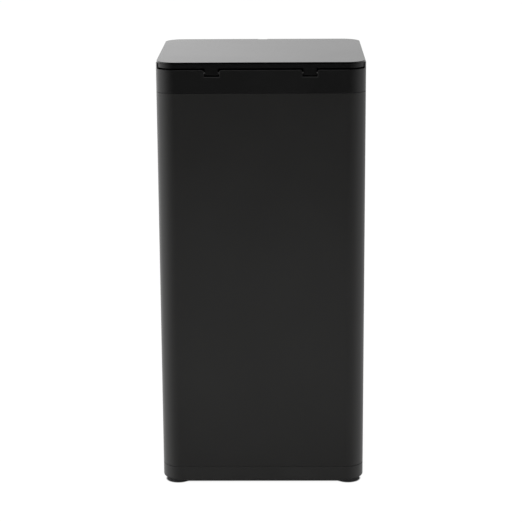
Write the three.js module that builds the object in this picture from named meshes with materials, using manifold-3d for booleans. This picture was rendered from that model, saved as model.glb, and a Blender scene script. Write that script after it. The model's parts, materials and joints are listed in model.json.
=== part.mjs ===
// Free-standing manual compaction bin: a tall sleeve with a hinged lid that carries a folding plate.
// Millimetres, +Z up, front towards -Y, origin on the floor under the middle of the bin.

import * as THREE from 'three';
import { mergeVertices } from 'three/addons/utils/BufferGeometryUtils.js';
import Module from 'manifold-3d';

const wasm = await Module();
wasm.setup();

// Driving dimensions
const WIDTH = 336;
const DEPTH = 286;
const HEIGHT = 710;
const REAR = DEPTH / 2;
const CORNER_RADIUS = 32;
const GAP = 0.3; // between pieces that touch or pass through each other
const OVERLAP = 1; // how far two shapes of one piece run into each other
const BEYOND = 10; // how far a cutter runs past the face that it opens
const ARC_STEPS = 6; // a quarter circle has twice as many sides
const INNER_ARC_STEPS = 4; // the same on the pieces inside

// Outer levels
const FOOT_TOP = 5.8;
const BASE_BOTTOM = FOOT_TOP + GAP;
const BASE_TOP = 29.5;
const COLLAR_BOTTOM = 660.5;
const REAR_RIM = 697.8;
const SIDE_RIM = 706.5;
const LEDGE_TOP = 668.4;

// Base moulding and feet
const BASE = {
  wall: 3, deck: 3, ribPitchX: 80, ribPitchY: 62, ribHalf: 1.2, ribBottom: 17, boss: 15, drillTop: 24,
};
const FOOT = { inset: 25.5, radius: 18.5, pocket: 6, pocketTop: 3.5 };

// Sleeve and collar
const SLEEVE = { sheet: 1.2, topFlange: 9.6, bottomFlange: 14 };
const COLLAR = { wall: 3, ledge: 12, drillTop: LEDGE_TOP - 1.2, rimBevel: 1.2, bevelDrop: 1.2 };
const RIM_CUT_FRONT = REAR - 24; // from here to the rear the collar's rim is lowered
const FINGER_RECESS = { half: 30, depth: 3.5, bottom: 699 };

// Bucket and the ring that holds the bag on its rim
const BUCKET = {
  inset: 12.5, wall: 2, floor: 2.5, bottom: 36, rimBottom: LEDGE_TOP + GAP, rim: 3, rimInset: 4.5,
  draftX: 0.055, draftY: 0.06,
};
const LIFT_SLOT = { half: 36, z: 649, radius: 8 };
const BAG_RING = { outer: 6.5, inner: 16.5, bottom: 672, top: 674.4, lip: 15, lipBottom: 662 };

// Lid
const LID_INSET = 1.25;
const LID_PLATE = 2.6;
const LID_PLATE_BOTTOM = HEIGHT - LID_PLATE;
const LID_DECK_TOP = LID_PLATE_BOTTOM - GAP;
const LID_DECK_BOTTOM = LID_DECK_TOP - 3;
const LID_NOTCH = { half: 7.75, depth: 4 };
const LID_BOSS = { radius: 4, drillTop: HEIGHT - 1 };
const BAND = { half: 165, bottom: 700.4, wall: 3, gap: 0.4 }; // stands in the lowered rear rim of the collar
const PLUG = { half: 161, front: -136, rear: 130, radius: 25, wall: 2.5, bottom: 678 };
const SEAL = { reach: 2, bottom: 679.5, top: 682.5 };

// Lid hinge, two knuckles on one axis along X
const HINGE = {
  y: REAR - 5.5, z: 691.9, knuckle: 4.2, lug: 6.5, lugBottom: 684, pin: 2, pinEnd: 0.6, bore: 2.3,
};
const TAB = { x: 78, half: 10.6, notchHalf: 12.2, notchBottom: 686.8, notchFlare: 3, lugWidth: 9 };

// Compaction plate and the brace that props it
const PIVOT = {
  y: 105, z: 690, rod: 4, bore: 4.3, lug: 8, lugInset: 6, bracket: 9, ribX: 143.5, ribWidth: 5, rodEnd: 153.5,
  clipX: 151, clipHalf: 0.5, clipOuter: 7, clipInner: 3.4, clipMouth: 2.8, grooveHalf: 0.8, groove: 3.1,
};
const PLATE = { half: 138, front: -95, rear: 113, radius: 20, bottom: 673, floor: 3, top: 682, rib: 2.5 };
const PLATE_RIB_X = [-97.5, -48, 0, 48, 97.5];
const WIPER = { reach: 4, bottom: 673.5, top: 676 };
const KEEPER = { half: 14, thick: 3, top: 697, windowHalf: 9, windowBottom: 687, windowTop: 692 };
const BRACE = {
  arm: 92, rod: 2.5, armX: 105, endX: 118.6, lug: 6, lugX: 94, lugWidth: 7, hookX: 91.5, bore: 2.8,
  glide: 4, glideX: 116.2, glideHalf: 2.2,
};
const BRACE_FOOT_Y = PIVOT.y - BRACE.arm;
const BRACE_HEAD_Y = PIVOT.y - 2 * BRACE.arm;
const PLATE_RIB_Y = [-44, BRACE_FOOT_Y, 62];
const RAIL = {
  x: 113, width: 8, back: 2, end: 4, front: -90, rear: 12, bottom: 683.5, slotHalf: 4.5,
  flange: 9, flangeThick: 3,
};

// Stow bolt, filter and catch, all behind the front of the lid
const BOLT = {
  half: 8, thick: 3, z: 689.5, front: -125, rear: -98.5,
  gripHalf: 5, gripFront: -119, gripRear: -113, gripDrop: 9,
};
const CHANNEL = {
  half: 13, inner: 8.4, front: -128.5, rear: -99, floor: 2.7, roof: 2.2,
  slotHalf: 5.4, slotFront: -122, slotRear: -102,
};
const FILTER = {
  x: 75, y: -116, inner: 13.5, outer: 15.5, bottom: 692, pad: 11.4, padBottom: 692.5,
  nubZ: 695, nubHalf: 1, nubReach: 14.6, nubWidth: 2.2,
  slotHalf: 1.3, slotBack: 13, slotEntry: 22, slotEnd: 48,
};
const CAP = {
  disc: 15.5, thick: 3, drop: 0.4, skirtGap: 0.4, skirtWall: 1.3, skirtTop: 698, grip: 11, gripHalf: 1.5,
};
const CAP_VENTS = [[-5, 6], [5, 6], [0, 9]];
const VENT_RADIUS = 1.6;
const MAGNET = { half: 9, front: PLUG.front + 2.8, thick: 3, bottom: 682, top: 694 };
const MAGNET_RIB = { x: 9.4, thick: 1.6, bottom: 680, depth: 6.5 };
const STRIKE = { half: 12, front: GAP + COLLAR.wall - REAR, thick: 1, bottom: 685, top: 696 };

// Screws: the shank, the hole that it bites into, the hole that it passes through, and where each set sits
const SCREW = {
  shank: 1.6, pilot: 1.9, clearance: 2.3, head: 2.3, headChamfer: 0.8, crossHalf: 0.5, crossDepth: 1,
};
const FLANGE_SCREW_X = 90;
const COLLAR_SCREW_INSET = 6.2;
const BASE_SCREW_INSET = 8;
const LID_SCREWS = [[62, 70], [-62, 70], [62, -60], [-62, -60]];
const RAIL_SCREW_X = 108.5;
const RAIL_SCREW_Y = [-70, -8];

// ---------------------------------------------------------------- solids

function solid(geometry) {
  const bare = geometry.clone();
  bare.deleteAttribute('normal');
  bare.deleteAttribute('uv');
  const merged = mergeVertices(bare, 1e-4);
  const points = merged.attributes.position.array;
  const corner = (i) => new THREE.Vector3().fromArray(points, 3 * i);
  const triangles = [];
  let volume = 0;
  const index = merged.index.array;
  for (let i = 0; i < index.length; i += 3) {
    const [a, b, c] = [index[i], index[i + 1], index[i + 2]];
    if (a === b || b === c || c === a) continue;
    triangles.push(a, b, c);
    volume += corner(a).dot(corner(b).cross(corner(c)));
  }
  if (volume < 0) triangles.reverse();
  return new wasm.Manifold(new wasm.Mesh({
    numProp: 3,
    vertProperties: Float32Array.from(points),
    triVerts: Uint32Array.from(triangles),
  }));
}

function geometryOf(body) {
  const mesh = body.getMesh();
  const geometry = new THREE.BufferGeometry();
  geometry.setAttribute('position', new THREE.BufferAttribute(Float32Array.from(mesh.vertProperties), 3));
  geometry.setIndex(new THREE.BufferAttribute(Uint32Array.from(mesh.triVerts), 1));
  geometry.computeVertexNormals();
  return geometry;
}

const join = (...bodies) => bodies.reduce((all, body) => all.add(body));
const cut = (body, ...cutters) => cutters.reduce((rest, cutter) => rest.subtract(cutter), body);
const sorted = (a, b) => [Math.min(a, b), Math.max(a, b)];

function box(x0, x1, y0, y1, z0, z1) {
  const geometry = new THREE.BoxGeometry(x1 - x0, y1 - y0, z1 - z0);
  return solid(geometry.translate((x0 + x1) / 2, (y0 + y1) / 2, (z0 + z1) / 2));
}

function centredBox(halfX, y0, y1, z0, z1) {
  return box(-halfX, halfX, y0, y1, z0, z1);
}

// A box whose X range is given on the +X side and mirrored to the other where side is -1
function sideBox(side, x0, x1, y0, y1, z0, z1) {
  return box(...sorted(side * x0, side * x1), y0, y1, z0, z1);
}

function postZ(radius, x, y, z0, z1, sides = 16) {
  const geometry = new THREE.CylinderGeometry(radius, radius, z1 - z0, sides);
  return solid(geometry.rotateX(Math.PI / 2).translate(x, y, (z0 + z1) / 2));
}

function rodX(radius, x0, x1, y, z, sides = 16) {
  const geometry = new THREE.CylinderGeometry(radius, radius, Math.abs(x1 - x0), sides);
  return solid(geometry.rotateZ(Math.PI / 2).translate((x0 + x1) / 2, y, z));
}

function rodY(radius, x, y0, y1, z, sides = 16) {
  const geometry = new THREE.CylinderGeometry(radius, radius, Math.abs(y1 - y0), sides);
  return solid(geometry.translate(x, (y0 + y1) / 2, z));
}

function extrude(shape, z0, z1, curveSegments = ARC_STEPS) {
  const geometry = new THREE.ExtrudeGeometry(shape, { depth: z1 - z0, bevelEnabled: false, curveSegments });
  return solid(geometry.translate(0, 0, z0));
}

function drill(body, radius, points, z0, z1) {
  return cut(body, ...points.map(([x, y]) => postZ(radius, x, y, z0, z1, 12)));
}

// A [y, z] outline run along X
function prismX(outline, x0, x1) {
  const shape = new THREE.Shape(outline.map(([y, z]) => new THREE.Vector2(y, z)));
  const geometry = new THREE.ExtrudeGeometry(shape, { depth: x1 - x0, bevelEnabled: false });
  const turn = new THREE.Matrix4().makeBasis(
    new THREE.Vector3(0, 1, 0), new THREE.Vector3(0, 0, 1), new THREE.Vector3(1, 0, 0));
  return solid(geometry.applyMatrix4(turn).translate(x0, 0, 0));
}

// A [radius, z] profile turned about Z
function turned(profile, sides = 20) {
  const points = profile.map(([radius, z]) => new THREE.Vector2(radius, z));
  return solid(new THREE.LatheGeometry(points, sides).rotateX(Math.PI / 2));
}

function roundedShape(half, front, rear, radius) {
  const quarter = Math.PI / 2;
  const shape = new THREE.Shape();
  shape.absarc(half - radius, rear - radius, radius, 0, quarter);
  shape.absarc(radius - half, rear - radius, radius, quarter, 2 * quarter);
  shape.absarc(radius - half, front + radius, radius, 2 * quarter, 3 * quarter);
  shape.absarc(half - radius, front + radius, radius, 3 * quarter, 4 * quarter);
  shape.closePath();
  return shape;
}

// The bin's own outline, moved inwards
function bodyShape(inset) {
  const radius = Math.max(CORNER_RADIUS - inset, 8);
  return roundedShape(WIDTH / 2 - inset, inset - REAR, REAR - inset, radius);
}

function plugShape(grow) {
  return roundedShape(PLUG.half + grow, PLUG.front - grow, PLUG.rear + grow, PLUG.radius + grow);
}

function plateShape(grow) {
  return roundedShape(PLATE.half + grow, PLATE.front - grow, PLATE.rear + grow, PLATE.radius + grow);
}

function bodyRing(outerInset, innerInset, z0, z1, steps = ARC_STEPS) {
  return cut(
    extrude(bodyShape(outerInset), z0, z1, steps),
    extrude(bodyShape(innerInset), z0 - BEYOND, z1 + BEYOND, steps));
}

function ringSector(inner, outer, startDegrees, endDegrees, z0, z1) {
  const [start, end] = [startDegrees, endDegrees].map(THREE.MathUtils.degToRad);
  const shape = new THREE.Shape();
  shape.absarc(0, 0, outer, start, end, false);
  shape.absarc(0, 0, inner, end, start, true);
  shape.closePath();
  return extrude(shape, z0, z1);
}

// ---------------------------------------------------------------- outer casing

function flangePoints(inset) {
  const y = REAR - inset;
  return [[FLANGE_SCREW_X, y], [-FLANGE_SCREW_X, y], [FLANGE_SCREW_X, -y], [-FLANGE_SCREW_X, -y]];
}

function footPoints() {
  const [x, y] = [WIDTH / 2 - FOOT.inset, REAR - FOOT.inset];
  return [[x, y], [-x, y], [x, -y], [-x, -y]];
}

function baseMoulding() {
  const deckBottom = BASE_TOP - BASE.deck;
  const { ribHalf, ribBottom } = BASE;
  const ribTop = deckBottom + OVERLAP;
  const shapes = [bodyRing(0, BASE.wall, BASE_BOTTOM, BASE_TOP), extrude(bodyShape(0), deckBottom, BASE_TOP)];
  for (const offset of [-1, 0, 1]) {
    const [x, y] = [offset * BASE.ribPitchX, offset * BASE.ribPitchY];
    shapes.push(
      centredBox(WIDTH / 2 - OVERLAP, y - ribHalf, y + ribHalf, ribBottom, ribTop),
      box(x - ribHalf, x + ribHalf, OVERLAP - REAR, REAR - OVERLAP, ribBottom, ribTop));
  }
  for (const [x, y] of footPoints()) shapes.push(postZ(BASE.boss, x, y, BASE_BOTTOM, ribTop, 20));
  const base = drill(join(...shapes), SCREW.pilot, footPoints(), 0, BASE.drillTop);
  return drill(base, SCREW.clearance, flangePoints(BASE_SCREW_INSET), 0, BASE_TOP + BEYOND);
}

function bodySleeve() {
  const [bottom, top] = [BASE_TOP + GAP, COLLAR_BOTTOM - GAP];
  const sleeve = join(
    bodyRing(0, SLEEVE.sheet, bottom, top),
    bodyRing(0, SLEEVE.topFlange, top - SLEEVE.sheet, top),
    bodyRing(0, SLEEVE.bottomFlange, bottom, bottom + SLEEVE.sheet));
  const open = drill(sleeve, SCREW.clearance, flangePoints(COLLAR_SCREW_INSET), top - BEYOND, top + BEYOND);
  return drill(open, SCREW.pilot, flangePoints(BASE_SCREW_INSET), bottom - BEYOND, bottom + BEYOND);
}

function hingeLugs() {
  const lugs = [];
  for (const side of [-1, 1]) {
    for (const end of [-1, 1]) {
      const x = side * TAB.x + end * (TAB.notchHalf + TAB.lugWidth / 2);
      const [x0, x1] = [x - TAB.lugWidth / 2, x + TAB.lugWidth / 2];
      lugs.push(
        rodX(HINGE.lug, x0, x1, HINGE.y, HINGE.z, 20),
        box(x0, x1, HINGE.y - HINGE.lug, REAR - OVERLAP, HINGE.lugBottom, HINGE.z));
    }
  }
  return join(...lugs).intersect(extrude(bodyShape(0), COLLAR_BOTTOM, REAR_RIM));
}

// The slot for one hinge tab, seen from the rear: straight sides that flare into the rim with a radius
function tabNotch(x) {
  const { notchHalf, notchBottom, notchFlare } = TAB;
  const [mouth, rise] = [notchHalf + notchFlare, REAR_RIM - notchFlare];
  const outline = new THREE.Shape();
  outline.moveTo(-notchHalf, notchBottom);
  outline.lineTo(notchHalf, notchBottom);
  outline.lineTo(notchHalf, rise);
  outline.absarc(mouth, rise, notchFlare, Math.PI, Math.PI / 2, true);
  outline.lineTo(mouth, HEIGHT);
  outline.lineTo(-mouth, HEIGHT);
  outline.absarc(-mouth, rise, notchFlare, Math.PI / 2, 0, true);
  outline.closePath();
  const depth = REAR + BEYOND - RIM_CUT_FRONT;
  const geometry = new THREE.ExtrudeGeometry(outline, { depth, bevelEnabled: false, curveSegments: ARC_STEPS });
  return solid(geometry.rotateX(Math.PI / 2).translate(x, REAR + BEYOND, 0));
}

function topCollar() {
  let collar = join(
    bodyRing(0, COLLAR.wall, COLLAR_BOTTOM, SIDE_RIM),
    bodyRing(0, COLLAR.ledge, COLLAR_BOTTOM, LEDGE_TOP));
  collar = cut(collar, centredBox(
    BAND.half + BAND.gap, RIM_CUT_FRONT, REAR + BEYOND, REAR_RIM, HEIGHT));
  collar = join(collar, hingeLugs());
  // the outer edge of the rear rim is bevelled, so that the lid's band can turn past it
  const [bevelTop, bevelFoot] = [REAR_RIM + 0.01, REAR_RIM - COLLAR.bevelDrop];
  const bevel = [[REAR - COLLAR.rimBevel, bevelTop], [REAR + OVERLAP, bevelTop], [REAR + OVERLAP, bevelFoot]];
  collar = cut(collar, prismX(bevel, -BAND.half, BAND.half));
  const lugReach = TAB.notchHalf + TAB.lugWidth + OVERLAP;
  for (const x of [-TAB.x, TAB.x]) {
    collar = cut(collar,
      tabNotch(x),
      rodX(HINGE.bore, x - lugReach, x + lugReach, HINGE.y, HINGE.z));
  }
  const { half, depth, bottom } = FINGER_RECESS;
  collar = cut(collar, centredBox(half, -REAR - BEYOND, depth - REAR, bottom, HEIGHT));
  const screws = flangePoints(COLLAR_SCREW_INSET);
  return drill(collar, SCREW.pilot, screws, COLLAR_BOTTOM - BEYOND, COLLAR.drillTop);
}

// ---------------------------------------------------------------- bucket

// A shape run upwards that tapers towards the bucket's bottom
function drafted(shape, z0, z1) {
  const options = { depth: z1 - z0, bevelEnabled: false, curveSegments: INNER_ARC_STEPS };
  const geometry = new THREE.ExtrudeGeometry(shape, options);
  geometry.translate(0, 0, z0);
  const place = geometry.attributes.position;
  for (let i = 0; i < place.count; i += 1) {
    const drop = (BUCKET.rimBottom - place.getZ(i)) / (BUCKET.rimBottom - BUCKET.bottom);
    place.setX(i, place.getX(i) * (1 - BUCKET.draftX * drop));
    place.setY(i, place.getY(i) * (1 - BUCKET.draftY * drop));
  }
  return solid(geometry);
}

function innerBucket() {
  const rimTop = BUCKET.rimBottom + BUCKET.rim;
  const tub = join(
    drafted(bodyShape(BUCKET.inset), BUCKET.bottom, rimTop),
    extrude(bodyShape(BUCKET.rimInset), BUCKET.rimBottom, rimTop, INNER_ARC_STEPS));
  const { half, z, radius } = LIFT_SLOT;
  const liftSlot = new THREE.Shape();
  liftSlot.absarc(half, z, radius, -Math.PI / 2, Math.PI / 2);
  liftSlot.absarc(-half, z, radius, Math.PI / 2, 1.5 * Math.PI);
  const outline = liftSlot.getPoints(ARC_STEPS / 2).map((point) => [point.x, point.y]);
  return cut(tub,
    drafted(bodyShape(BUCKET.inset + BUCKET.wall), BUCKET.bottom + BUCKET.floor, rimTop + BEYOND),
    prismX(outline, -WIDTH, WIDTH));
}

function bagRing() {
  const { outer, inner, bottom, top, lip, lipBottom } = BAG_RING;
  return join(
    bodyRing(outer, inner, bottom, top, INNER_ARC_STEPS),
    bodyRing(lip, inner, lipBottom, bottom + OVERLAP, INNER_ARC_STEPS));
}

// ---------------------------------------------------------------- lid

function lidTop() {
  const notchRear = LID_INSET - REAR + LID_NOTCH.depth;
  const plate = cut(extrude(bodyShape(LID_INSET), LID_PLATE_BOTTOM, HEIGHT),
    centredBox(LID_NOTCH.half, -DEPTH, notchRear, LID_PLATE_BOTTOM - OVERLAP, HEIGHT + OVERLAP));
  const bosses = LID_SCREWS.map(([x, y]) => (
    postZ(LID_BOSS.radius, x, y, LID_DECK_BOTTOM + GAP, LID_PLATE_BOTTOM + OVERLAP)));
  return drill(join(plate, ...bosses), SCREW.pilot, LID_SCREWS, LID_DECK_BOTTOM, LID_BOSS.drillTop);
}

// The strip that closes the lowered rear rim of the collar, with the hinge tabs that hang from it
function rearBand() {
  const front = RIM_CUT_FRONT + BAND.gap;
  const strip = extrude(bodyShape(LID_INSET), BAND.bottom, LID_DECK_TOP).intersect(
    centredBox(BAND.half, front, REAR, BAND.bottom, LID_DECK_TOP));
  const hollow = extrude(bodyShape(LID_INSET + BAND.wall), BAND.bottom - OVERLAP, LID_DECK_BOTTOM).intersect(
    centredBox(BAND.half - BAND.wall, front - BEYOND, REAR, 0, HEIGHT));
  let band = cut(strip, hollow);
  for (const x of [-TAB.x, TAB.x]) {
    const [x0, x1] = [x - TAB.half, x + TAB.half];
    band = join(band,
      box(x0, x1, HINGE.y - HINGE.knuckle, HINGE.y + HINGE.knuckle, HINGE.z, LID_DECK_BOTTOM + OVERLAP),
      rodX(HINGE.knuckle, x0, x1, HINGE.y, HINGE.z, 24));
    band = cut(band, rodX(HINGE.bore, x0 - OVERLAP, x1 + OVERLAP, HINGE.y, HINGE.z));
  }
  return band;
}

function boltChannel() {
  const { half, inner, front, rear, floor, roof, slotHalf, slotFront, slotRear } = CHANNEL;
  const [low, high] = [BOLT.z - BOLT.thick / 2 - GAP, BOLT.z + BOLT.thick / 2 + GAP];
  return cut(
    centredBox(half, front, rear, low - floor, LID_DECK_BOTTOM + OVERLAP),
    centredBox(inner, front - OVERLAP, rear + OVERLAP, low, high),
    centredBox(inner, front - OVERLAP, rear + OVERLAP, high + roof, LID_DECK_BOTTOM),
    centredBox(slotHalf, slotFront, slotRear, low - BEYOND, low + OVERLAP));
}

function filterHousing() {
  const { inner, outer, bottom, nubZ, slotHalf, slotBack, slotEntry, slotEnd } = FILTER;
  const [slotIn, slotOut] = [inner - 0.5, outer + OVERLAP];
  let housing = cut(
    postZ(outer, 0, 0, bottom, LID_DECK_BOTTOM + OVERLAP, 32),
    postZ(inner, 0, 0, 0, LID_DECK_BOTTOM, 32));
  for (const turn of [0, 180]) {
    housing = cut(housing,
      ringSector(slotIn, slotOut, turn - slotBack, turn + slotEnd, nubZ - slotHalf, nubZ + slotHalf),
      ringSector(slotIn, slotOut, turn + slotEntry, turn + slotEnd, bottom - OVERLAP, nubZ));
  }
  return housing.translate(FILTER.x, FILTER.y, 0);
}

function rodBrackets() {
  const { y, z, bracket, bore, ribX, ribWidth } = PIVOT;
  const brackets = [-1, 1].map((side) => {
    const [x0, x1] = sorted(side * ribX, side * (ribX + ribWidth));
    const plate = join(
      box(x0, x1, y - bracket, y + bracket, z, LID_DECK_BOTTOM + OVERLAP),
      rodX(bracket, x0, x1, y, z, 20));
    return cut(plate, rodX(bore, x0 - OVERLAP, x1 + OVERLAP, y, z));
  });
  return join(...brackets);
}

function railScrewPoints(side) {
  return RAIL_SCREW_Y.map((y) => [side * RAIL_SCREW_X, y]);
}

function lidUnder() {
  const skirt = cut(extrude(plugShape(0), PLUG.bottom, LID_DECK_TOP, INNER_ARC_STEPS),
    extrude(plugShape(-PLUG.wall), PLUG.bottom - OVERLAP, LID_DECK_BOTTOM, INNER_ARC_STEPS));
  const { x, thick, bottom, depth } = MAGNET_RIB;
  const magnetRibs = [-1, 1].map((side) => (
    sideBox(side, x, x + thick, PLUG.front + OVERLAP, PLUG.front + depth, bottom, LID_DECK_BOTTOM + OVERLAP)));
  const under = join(skirt, rearBand(), rodBrackets(), boltChannel(), filterHousing(), ...magnetRibs);
  const open = cut(under, ...LID_SCREWS.map(([sx, sy]) => (
    postZ(LID_BOSS.radius + 0.5, sx, sy, LID_DECK_BOTTOM - OVERLAP, HEIGHT))));
  const railScrews = [...railScrewPoints(-1), ...railScrewPoints(1)];
  return drill(open, SCREW.pilot, railScrews, LID_DECK_BOTTOM - OVERLAP, HEIGHT);
}

function lidSeal() {
  return cut(
    extrude(plugShape(SEAL.reach), SEAL.bottom, SEAL.top, INNER_ARC_STEPS),
    extrude(plugShape(GAP), SEAL.bottom - OVERLAP, SEAL.top + OVERLAP, INNER_ARC_STEPS));
}

function filterCap() {
  const { inner, bottom, nubZ, nubHalf, nubReach, nubWidth } = FILTER;
  const discTop = bottom - CAP.drop;
  const discBottom = discTop - CAP.thick;
  const skirt = inner - CAP.skirtGap;
  let cap = join(
    postZ(CAP.disc, 0, 0, discBottom, discTop, 32),
    cut(postZ(skirt, 0, 0, discTop - OVERLAP, CAP.skirtTop, 32),
      postZ(skirt - CAP.skirtWall, 0, 0, discTop, CAP.skirtTop + OVERLAP, 32)),
    centredBox(CAP.grip, -CAP.gripHalf, CAP.gripHalf, discBottom - CAP.thick, discTop - OVERLAP));
  for (const side of [-1, 1]) {
    cap = join(cap, sideBox(side, skirt - 0.6, nubReach, -nubWidth, nubWidth, nubZ - nubHalf, nubZ + nubHalf));
    const vents = CAP_VENTS.map(([x, y]) => [x, side * y]);
    cap = drill(cap, VENT_RADIUS, vents, discBottom - BEYOND, discTop + OVERLAP);
  }
  return cap;
}

function stowBolt() {
  const [low, high] = [BOLT.z - BOLT.thick / 2, BOLT.z + BOLT.thick / 2];
  return join(
    centredBox(BOLT.half, BOLT.front, BOLT.rear, low, high),
    centredBox(BOLT.gripHalf, BOLT.gripFront, BOLT.gripRear, low - BOLT.gripDrop, low + OVERLAP));
}

// ---------------------------------------------------------------- compaction plate

function platePockets() {
  const { bottom, top, floor, rib, half, front, rear } = PLATE;
  const ribs = [
    ...PLATE_RIB_X.map((x) => box(x - rib / 2, x + rib / 2, front, rear, bottom, top + OVERLAP)),
    ...PLATE_RIB_Y.map((y) => centredBox(half, y - rib / 2, y + rib / 2, bottom, top + OVERLAP))];
  return cut(extrude(plateShape(-rib), bottom + floor, top + OVERLAP, INNER_ARC_STEPS), ...ribs);
}

function compactionPlate() {
  const { bottom, top, floor, half, front } = PLATE;
  const low = bottom + floor - OVERLAP;
  let plate = cut(extrude(plateShape(0), bottom, top, INNER_ARC_STEPS), platePockets());
  for (const side of [-1, 1]) {
    const [p0, p1] = sorted(side * (half - PIVOT.lugInset - PIVOT.lug), side * (half - PIVOT.lugInset));
    const [b0, b1] = sorted(side * BRACE.lugX, side * (BRACE.lugX + BRACE.lugWidth));
    plate = join(plate,
      box(p0, p1, PIVOT.y - PIVOT.lug, PIVOT.y, low, PIVOT.z),
      rodX(PIVOT.lug, p0, p1, PIVOT.y, PIVOT.z, 20),
      box(b0, b1, BRACE_FOOT_Y - BRACE.lug, BRACE_FOOT_Y + BRACE.lug, low, PIVOT.z),
      rodX(BRACE.lug, b0, b1, BRACE_FOOT_Y, PIVOT.z));
    plate = cut(plate,
      rodX(PIVOT.bore, p0 - OVERLAP, p1 + OVERLAP, PIVOT.y, PIVOT.z),
      rodX(BRACE.bore, b0 - OVERLAP, b1 + OVERLAP, BRACE_FOOT_Y, PIVOT.z));
  }
  // upright keeper that the stow bolt slides into
  const keeper = cut(centredBox(KEEPER.half, front, front + KEEPER.thick, bottom + floor, KEEPER.top),
    centredBox(KEEPER.windowHalf, front - OVERLAP, front + KEEPER.thick + OVERLAP,
      KEEPER.windowBottom, KEEPER.windowTop));
  return join(plate, keeper);
}

function plateWiper() {
  return cut(
    extrude(plateShape(WIPER.reach), WIPER.bottom, WIPER.top, INNER_ARC_STEPS),
    extrude(plateShape(GAP), WIPER.bottom - OVERLAP, WIPER.top + OVERLAP, INNER_ARC_STEPS));
}

function pivotRod() {
  const { y, z, rod, rodEnd, clipX, groove, grooveHalf } = PIVOT;
  const grooves = [-clipX, clipX].map((x) => cut(
    rodX(rod + OVERLAP, x - grooveHalf, x + grooveHalf, y, z),
    rodX(groove, x - OVERLAP, x + OVERLAP, y, z)));
  return cut(rodX(rod, -rodEnd, rodEnd, y, z), ...grooves);
}

// An open spring ring, centred on its own axis
function rodClip() {
  const { clipHalf, clipOuter, clipInner, clipMouth } = PIVOT;
  return cut(
    rodX(clipOuter, -clipHalf, clipHalf, 0, 0, 20),
    rodX(clipInner, -OVERLAP, OVERLAP, 0, 0),
    centredBox(OVERLAP, -clipMouth, clipMouth, -BEYOND, 0));
}

function braceFrame() {
  const z = PIVOT.z;
  const bars = [rodX(BRACE.rod, -BRACE.endX, BRACE.endX, BRACE_HEAD_Y, z)];
  for (const side of [-1, 1]) {
    const x = side * BRACE.armX;
    bars.push(
      rodY(BRACE.rod, x, BRACE_HEAD_Y, BRACE_FOOT_Y, z),
      rodX(BRACE.rod, x, side * BRACE.hookX, BRACE_FOOT_Y, z),
      solid(new THREE.SphereGeometry(BRACE.rod, 12, 8).translate(x, BRACE_FOOT_Y, z)));
  }
  return join(...bars);
}

function braceGlide() {
  const { glide, glideHalf, bore } = BRACE;
  const end = glideHalf + OVERLAP;
  return cut(rodX(glide, -glideHalf, glideHalf, 0, 0), rodX(bore, -end, end, 0, 0));
}

function slideRail(side) {
  const { x, width, back, end, front, rear, bottom, slotHalf, flange, flangeThick } = RAIL;
  const top = LID_DECK_BOTTOM - GAP;
  const rail = cut(
    join(
      sideBox(side, x, x + width, front, rear, bottom, top),
      sideBox(side, x - flange, x + OVERLAP, front, rear, top - flangeThick, top)),
    sideBox(side, x - OVERLAP, x + width - back, front + end, rear - end,
      PIVOT.z - slotHalf, PIVOT.z + slotHalf));
  return drill(rail, SCREW.pilot, railScrewPoints(side), top - BEYOND, HEIGHT);
}

// ---------------------------------------------------------------- small pieces

function foot() {
  const { radius, pocket, pocketTop } = FOOT;
  const bore = SCREW.clearance;
  return turned([[pocket, 0], [radius - 1, 0], [radius, 1], [radius, FOOT_TOP], [bore, FOOT_TOP],
    [bore, pocketTop], [pocket, pocketTop], [pocket, 0]]);
}

// A pan-head screw that points up, with the underside of its head at z = 0
function screw(headRadius, length) {
  const { shank, head, headChamfer, crossHalf, crossDepth } = SCREW;
  const profile = [[0, -head], [headRadius - headChamfer, -head], [headRadius, -head + headChamfer],
    [headRadius, 0], [shank, 0], [shank, length - OVERLAP], [0, length]];
  const cross = headRadius * 0.55;
  return cut(turned(profile, 12),
    centredBox(cross, -crossHalf, crossHalf, -head - crossDepth, crossDepth - head),
    centredBox(crossHalf, -cross, cross, -head - crossDepth, crossDepth - head));
}

function hingePin() {
  const half = TAB.notchHalf + TAB.lugWidth;
  const { pin, pinEnd } = HINGE;
  return join(rodX(pin, pinEnd - half, half - pinEnd, 0, 0), rodX(pin - 0.5, -half, half, 0, 0));
}

// ---------------------------------------------------------------- materials and assembly

const finish = (color, roughness, metalness = 0) => (
  new THREE.MeshStandardMaterial({ color, roughness, metalness }));
const sleevePaint = finish(0x2c2b2a, 0.5);
const mouldedBlack = finish(0x18181a, 0.5);
const lidBlack = finish(0x121213, 0.45);
const basePlastic = finish(0x2b2b2b, 0.6);
const lidGloss = finish(0x1b1b1c, 0.22);
const bucketPlastic = finish(0x4a4b4d, 0.6);
const ringPlastic = finish(0x2f3032, 0.55);
const platePlastic = finish(0x3a3b3d, 0.5);
const nylon = finish(0xd8d6cc, 0.5);
const soft = finish(0x222222, 0.9);
const steel = finish(0x9a9a98, 0.35, 1);
const blackSteel = finish(0x2d2d2e, 0.45, 1);
const carbon = finish(0x111111, 1);

const compactor = new THREE.Group();

function place(parent, name, body, material, x = 0, y = 0, z = 0) {
  const mesh = new THREE.Mesh(geometryOf(body), material);
  mesh.name = name;
  mesh.position.set(x, y, z);
  parent.add(mesh);
}

function placeSet(parent, name, body, material, points, z) {
  points.forEach(([x, y], i) => place(parent, `${name}_${i + 1}`, body, material, x, y, z));
}

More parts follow.
